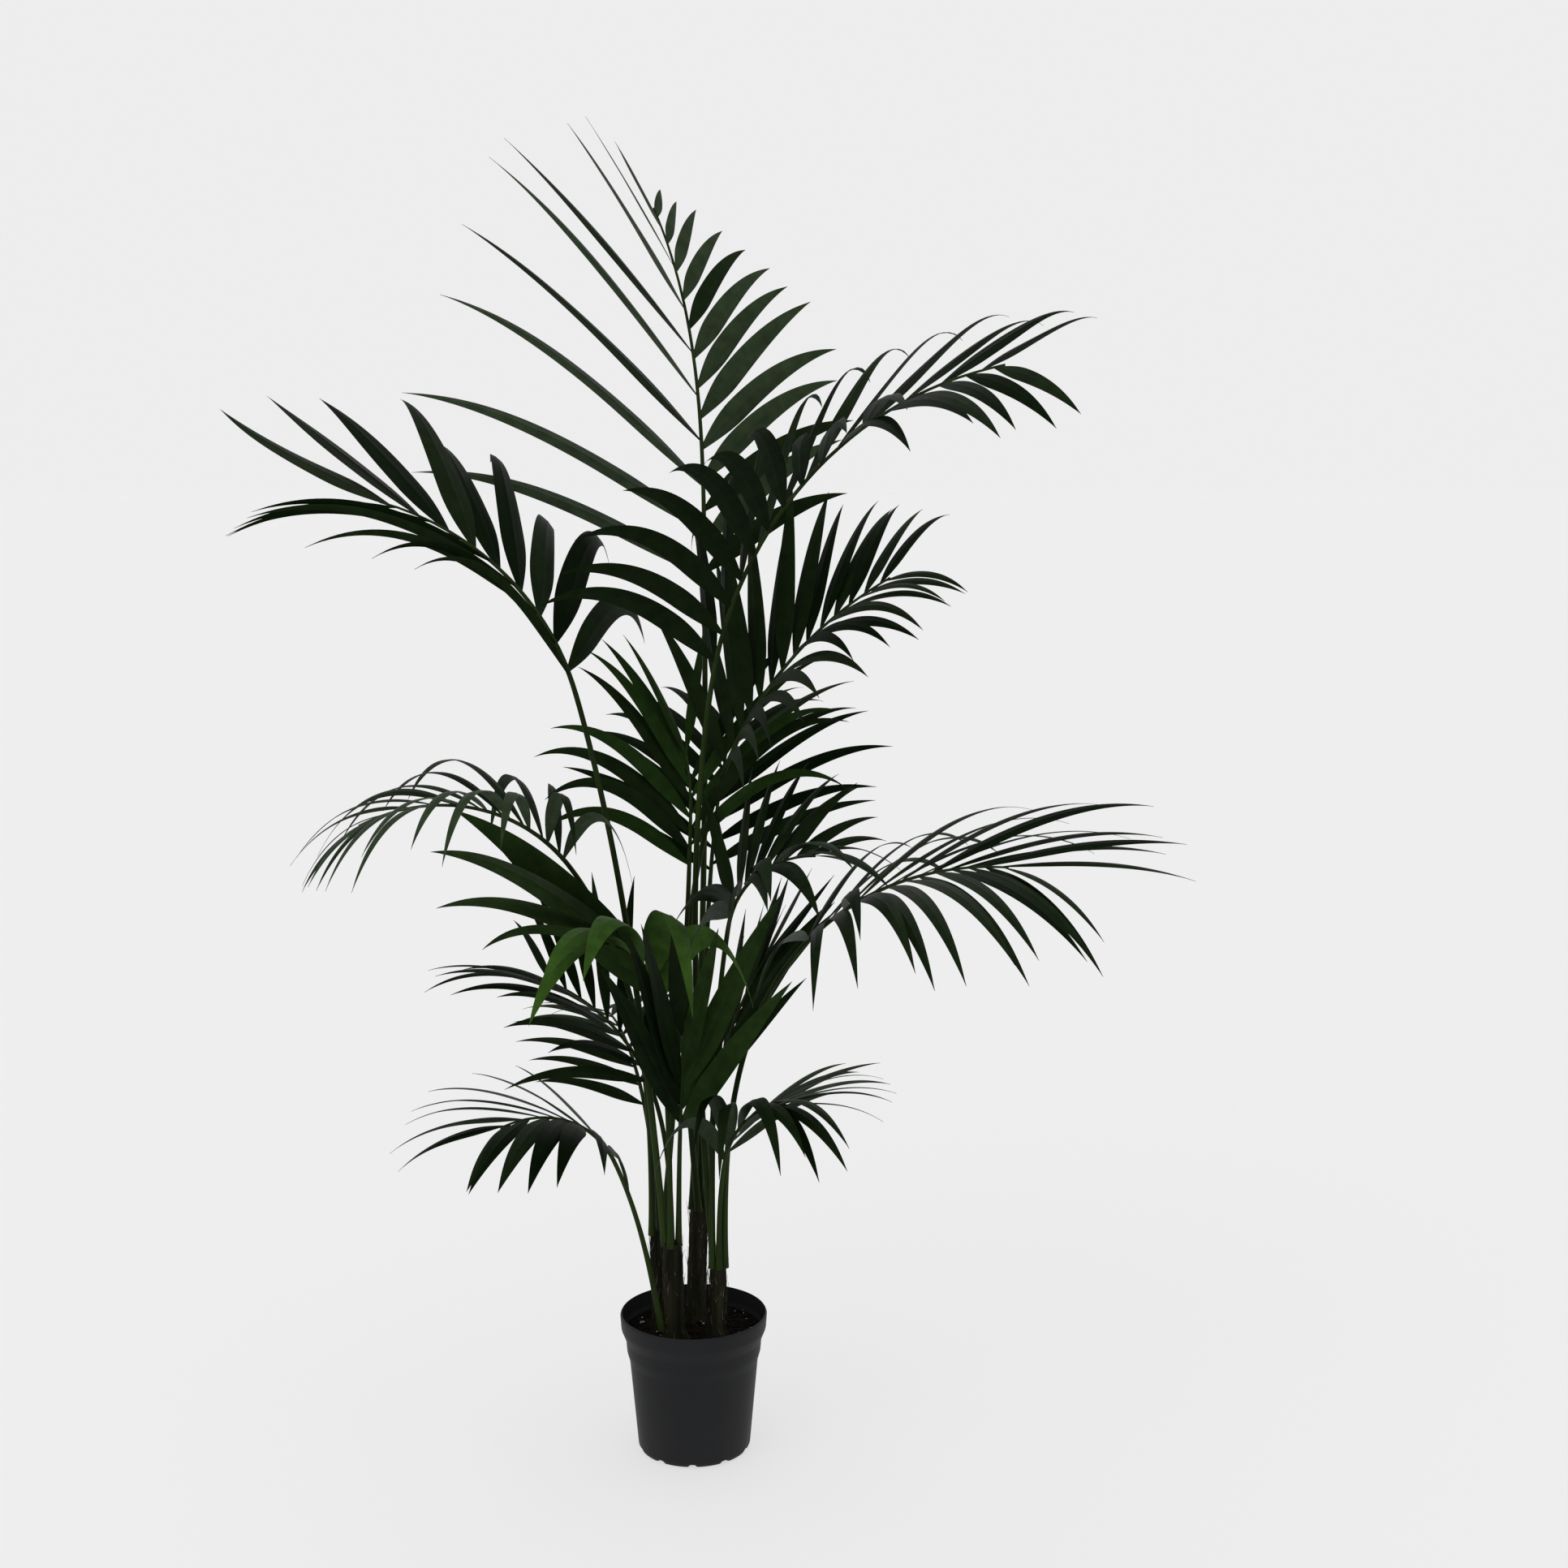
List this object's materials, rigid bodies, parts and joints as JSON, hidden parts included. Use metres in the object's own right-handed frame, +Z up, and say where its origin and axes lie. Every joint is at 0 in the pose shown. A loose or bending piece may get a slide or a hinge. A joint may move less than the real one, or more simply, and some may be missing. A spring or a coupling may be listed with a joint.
{
  "type": "potted palm",
  "caption": "Tall multi-stemmed kentia palm with arching fronds of long drooping leaflets, standing in a plain tapered round nursery pot filled with potting soil.",
  "frame": {"origin": "centre of the pot's flat underside", "axes": "+Z up; +X to the right and +Y away, seen from the front"},
  "size_m": [1.4649, 1.0368, 2.1546],
  "materials": {
    "charcoal_plastic": "matte charcoal plastic, faintly grained",
    "potting_soil": "rough, damp and crumbly, with a few pale specks",
    "fibrous_sheath": "dry brown fibre over green",
    "green_stalk": "smooth satin green",
    "dark_leaf": "dark green, slightly glossy, finely veined along its length"
  },
  "bodies": {
    "root": {"pot": "charcoal_plastic", "soil": "potting_soil", "stem_A": "fibrous_sheath", "stem_B": "fibrous_sheath", "stem_C": "fibrous_sheath", "stem_D": "fibrous_sheath", "stalk_01": "green_stalk", "frond_01": "dark_leaf", "stalk_02": "green_stalk", "frond_02": "dark_leaf", "stalk_03": "green_stalk", "frond_03": "dark_leaf", "stalk_04": "green_stalk", "frond_04": "dark_leaf", "stalk_05": "green_stalk", "frond_05": "dark_leaf", "stalk_06": "green_stalk", "frond_06": "dark_leaf", "stalk_07": "green_stalk", "frond_07": "dark_leaf", "stalk_08": "green_stalk", "frond_08": "dark_leaf", "stalk_09": "green_stalk", "frond_09": "dark_leaf", "stalk_10": "green_stalk", "frond_10": "dark_leaf", "stalk_11": "green_stalk", "frond_11": "dark_leaf", "stalk_12": "green_stalk", "frond_12": "dark_leaf", "stalk_13": "green_stalk", "frond_13": "dark_leaf", "stalk_14": "green_stalk", "frond_14": "dark_leaf", "stalk_15": "green_stalk", "frond_15": "dark_leaf", "stalk_16": "green_stalk", "frond_16": "dark_leaf"}
  },
  "joints": []
}
